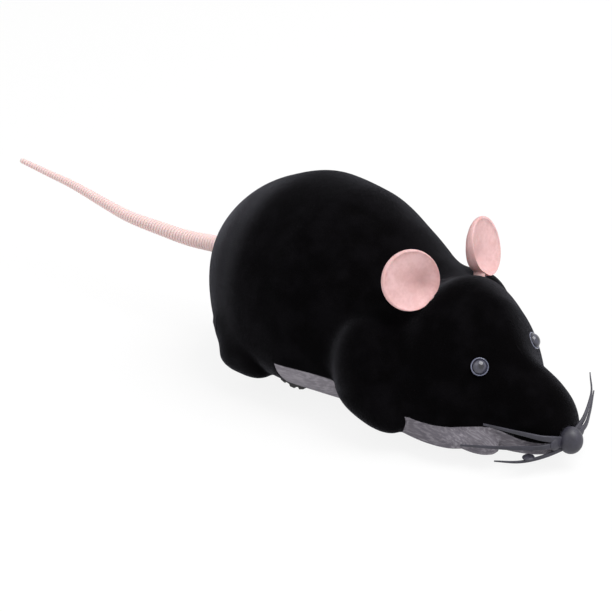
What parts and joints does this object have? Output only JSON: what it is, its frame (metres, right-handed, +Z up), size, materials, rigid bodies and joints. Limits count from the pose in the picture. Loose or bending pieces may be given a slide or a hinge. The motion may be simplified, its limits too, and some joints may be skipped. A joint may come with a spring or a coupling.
{
  "type": "robotic mouse cat toy",
  "caption": "Motor-driven toy mouse on hidden wheels, with a flocked two-part body, rubber ears and a ribbed rubber tail, for a cat to chase.",
  "frame": {"origin": "centre of the bounding box on the floor that the wheels stand on", "axes": "+X towards the nose, +Y to the mouse's left, +Z up"},
  "size_m": [0.2222, 0.0584, 0.0535],
  "materials": {
    "black_flock": "moulded shell under short black flocking",
    "grey_flock": "moulded shell under short grey flocking",
    "pink_rubber": "soft pale pink",
    "slate_rubber": "soft slate grey, slightly shiny",
    "clear_plastic": "clear, glossy",
    "black_plastic": "moulded",
    "black_rubber": "matt",
    "white_plastic": "moulded",
    "ivory_plastic": "moulded",
    "steel": "plated",
    "brass": "machined",
    "copper": "enamelled wire",
    "green_board": "lacquered",
    "red_wire": "insulated",
    "black_wire": "insulated"
  },
  "bodies": {
    "mouse_body": {"upper_shell": "black_flock", "belly_shell": "grey_flock", "ear_right": "pink_rubber", "ear_left": "pink_rubber", "eye_right": "clear_plastic", "eye_left": "clear_plastic", "nose_and_whiskers": "slate_rubber", "motor": "steel", "gear_pin_1": "steel", "gear_pin_2": "steel", "gearbox_housing": "ivory_plastic", "gearbox_cover": "ivory_plastic", "switch_body": "black_plastic", "button_cell_1": "steel", "button_cell_2": "steel", "button_cell_3": "steel", "battery_spring": "steel", "battery_spring_plate": "steel", "battery_contact_plate": "steel", "circuit_board": "green_board", "control_chip": "black_plastic", "capacitor": "black_plastic", "receiver_coil": "copper", "motor_wire_red": "red_wire", "switch_wire_red": "red_wire", "motor_wire_black": "black_wire", "switch_wire_black": "black_wire", "board_screw_1": "steel", "board_screw_2": "steel", "cover_screw_1": "steel", "cover_screw_2": "steel", "gearbox_screw_1": "steel", "gearbox_screw_2": "steel", "shell_screw_1": "steel", "shell_screw_2": "steel", "shell_screw_3": "steel"},
    "drive_wheels": {"drive_axle": "steel", "wheel_hub_left": "white_plastic", "wheel_hub_right": "white_plastic", "tyre_left": "black_rubber", "tyre_right": "black_rubber", "axle_gear": "white_plastic"},
    "second_gear": {"compound_gear_2": "white_plastic"},
    "first_gear": {"compound_gear_1": "white_plastic"},
    "motor_rotor": {"motor_pinion": "brass"},
    "castor_swivel_fork": {"castor_fork": "black_plastic", "castor_screw": "steel", "castor_axle": "steel"},
    "castor_roller": {"castor_wheel": "black_plastic"},
    "battery_lid": {"battery_door": "grey_flock", "battery_door_screw": "steel"},
    "switch_knob": {"switch_slider": "black_plastic"},
    "tail_body": {"tail": "pink_rubber"}
  },
  "joints": [
    {"name": "wheel_spin", "type": "hinge", "parent": "mouse_body", "child": "drive_wheels", "pos_m": [0.02375, 0, 0.01197], "axis": [0, 1, 0], "continuous": true},
    {"name": "second_gear_spin", "type": "hinge", "parent": "mouse_body", "child": "second_gear", "pos_m": [0.01937, 0, 0.01758], "axis": [0, 1, 0], "continuous": true},
    {"name": "first_gear_spin", "type": "hinge", "parent": "mouse_body", "child": "first_gear", "pos_m": [0.01303, 0, 0.02124], "axis": [0, 1, 0], "continuous": true},
    {"name": "motor_spin", "type": "hinge", "parent": "mouse_body", "child": "motor_rotor", "pos_m": [0.00573, 0, 0.0206], "axis": [0, 1, 0], "continuous": true},
    {"name": "castor_swivel", "type": "hinge", "parent": "mouse_body", "child": "castor_swivel_fork", "pos_m": [0.07435, 0, 0], "axis": [0, 0, 1], "continuous": true},
    {"name": "castor_roll", "type": "hinge", "parent": "castor_swivel_fork", "child": "castor_roller", "pos_m": [0.07185, 0, 0.0045], "axis": [0, 1, 0], "continuous": true},
    {"name": "battery_door_hinge", "type": "hinge", "parent": "mouse_body", "child": "battery_lid", "pos_m": [0.05445, -0.005, 0.00441], "axis": [-1, 0, 0], "range_deg": [0, 75]},
    {"name": "switch_slide", "type": "slide", "parent": "mouse_body", "child": "switch_knob", "axis": [0, 1, 0], "range_m": [0, 0.002]},
    {"name": "tail_sway", "type": "hinge", "parent": "mouse_body", "child": "tail_body", "pos_m": [-0.01325, 0, 0.0244], "axis": [0, 0, 1], "range_deg": [-12, 12], "stiffness_Nm_per_rad": 0.002}
  ],
  "couplings": [
    {"joint": "second_gear_spin", "follows": "wheel_spin", "ratio": -2.5},
    {"joint": "first_gear_spin", "follows": "wheel_spin", "ratio": 6.5},
    {"joint": "motor_spin", "follows": "wheel_spin", "ratio": -22.75}
  ]
}
